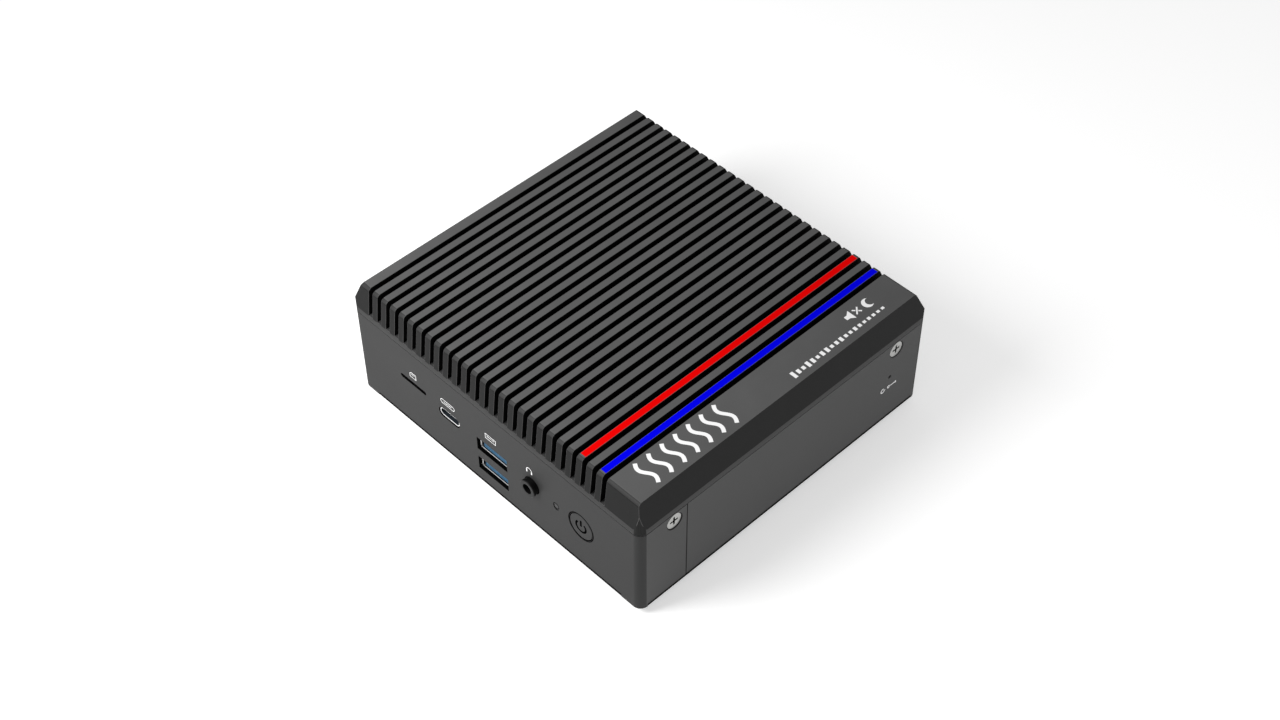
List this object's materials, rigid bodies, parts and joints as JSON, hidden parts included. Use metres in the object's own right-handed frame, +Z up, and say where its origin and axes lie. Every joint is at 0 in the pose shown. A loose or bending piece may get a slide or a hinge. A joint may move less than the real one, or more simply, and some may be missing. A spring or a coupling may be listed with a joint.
{
  "type": "mini pc",
  "caption": "Fanless mini computer in a square case with a finned, bevelled aluminium lid, sockets front and back, a power button and rubber feet.",
  "frame": {"origin": "on the desk, under the middle of the outer box", "axes": "+Z up, +X to the right seen from the front, -Y is the front with the power button"},
  "size_m": [0.127, 0.1248, 0.0494],
  "materials": {
    "lid_aluminium": "black anodised, fine bead-blasted",
    "front_shell": "dark grey, finely textured",
    "rear_shell": "dark grey, finely textured paint",
    "base_shell": "black, finely textured",
    "foot_rubber": "matte black",
    "screw_steel": "zinc plated",
    "insert_brass": "machined",
    "clear_plastic": "frosted clear",
    "led_resin": "glossy",
    "button_plastic": "dark grey, finely textured",
    "black_plastic": "satin black",
    "white_plastic": "satin",
    "board_laminate": "glossy solder mask",
    "chip_epoxy": "matte",
    "thermal_pad": "soft, dull",
    "copper": "milled copper",
    "ferrite": "dull grey",
    "can_aluminium": "bright drawn can",
    "socket_steel": "bright nickel plated",
    "contact_gold": "gold plated",
    "usb_blue": "satin blue",
    "antenna_foil": "amber film over copper",
    "cable_jacket": "smooth black",
    "paint_red": "satin red paint",
    "paint_blue": "satin blue paint",
    "ink_white": "screen-printed white ink",
    "ink_black": "printed black ink"
  },
  "bodies": {
    "case": {"heatsink_cover": "lid_aluminium", "front_frame": "front_shell", "rear_frame": "rear_shell", "base_cover": "base_shell", "foot_front_left": "foot_rubber", "foot_front_right": "foot_rubber", "foot_rear_left": "foot_rubber", "foot_rear_right": "foot_rubber", "side_screws": "screw_steel", "base_screws": "screw_steel", "mounting_inserts": "insert_brass", "status_light_pipe": "clear_plastic", "status_led": "led_resin", "power_switch_body": "black_plastic", "reset_switch_body": "black_plastic", "mainboard": "board_laminate", "mainboard_screws": "screw_steel", "processor": "chip_epoxy", "cpu_thermal_pad": "thermal_pad", "cpu_heat_block": "copper", "power_chokes": "ferrite", "power_stage_thermal_pad": "thermal_pad", "bulk_capacitors": "can_aluminium", "support_chips": "chip_epoxy", "memory_socket": "black_plastic", "memory_module": "board_laminate", "ssd_connector": "black_plastic", "ssd_module": "board_laminate", "wifi_connector": "black_plastic", "wifi_card": "board_laminate", "module_standoffs": "insert_brass", "module_screws": "screw_steel", "antenna_left": "antenna_foil", "antenna_right": "antenna_foil", "antenna_cable_left": "cable_jacket", "antenna_cable_right": "cable_jacket", "coin_cell": "socket_steel", "coin_cell_holder": "black_plastic", "usb_front_shell": "socket_steel", "usb_front_insulator": "usb_blue", "usb_front_contacts": "contact_gold", "usb_rear_shell": "socket_steel", "usb_rear_insulator": "usb_blue", "usb_c_shell": "socket_steel", "usb_c_tongue": "black_plastic", "card_slot_shell": "socket_steel", "audio_jack_body": "black_plastic", "audio_jack_contacts": "contact_gold", "network_jack_shell": "socket_steel", "network_jack_insert": "black_plastic", "dc_jack_body": "black_plastic", "dc_jack_pin": "socket_steel", "hdmi_left_shell": "socket_steel", "hdmi_left_tongue": "black_plastic", "hdmi_right_shell": "socket_steel", "hdmi_right_tongue": "black_plastic"},
    "power_button": {"power_button": "button_plastic"},
    "power_plunger": {"power_switch_plunger": "white_plastic"},
    "reset_plunger": {"reset_switch_plunger": "white_plastic"},
    "card_slider": {"card_slot_slider": "black_plastic"}
  },
  "joints": [
    {"name": "power_button_press", "type": "slide", "parent": "case", "child": "power_button", "axis": [0, 1, 0], "range_m": [0, 0.0004], "stiffness_N_per_m": 3000},
    {"name": "power_plunger_press", "type": "slide", "parent": "case", "child": "power_plunger", "axis": [0, 1, 0], "range_m": [0, 0.0004]},
    {"name": "reset_plunger_press", "type": "slide", "parent": "case", "child": "reset_plunger", "axis": [-1, 0, 0], "range_m": [0, 0.00025], "stiffness_N_per_m": 3000},
    {"name": "card_slider_travel", "type": "slide", "parent": "case", "child": "card_slider", "axis": [0, 1, 0], "range_m": [0, 0.004], "stiffness_N_per_m": 100}
  ],
  "couplings": [
    {"joint": "power_plunger_press", "follows": "power_button_press", "ratio": 1}
  ]
}
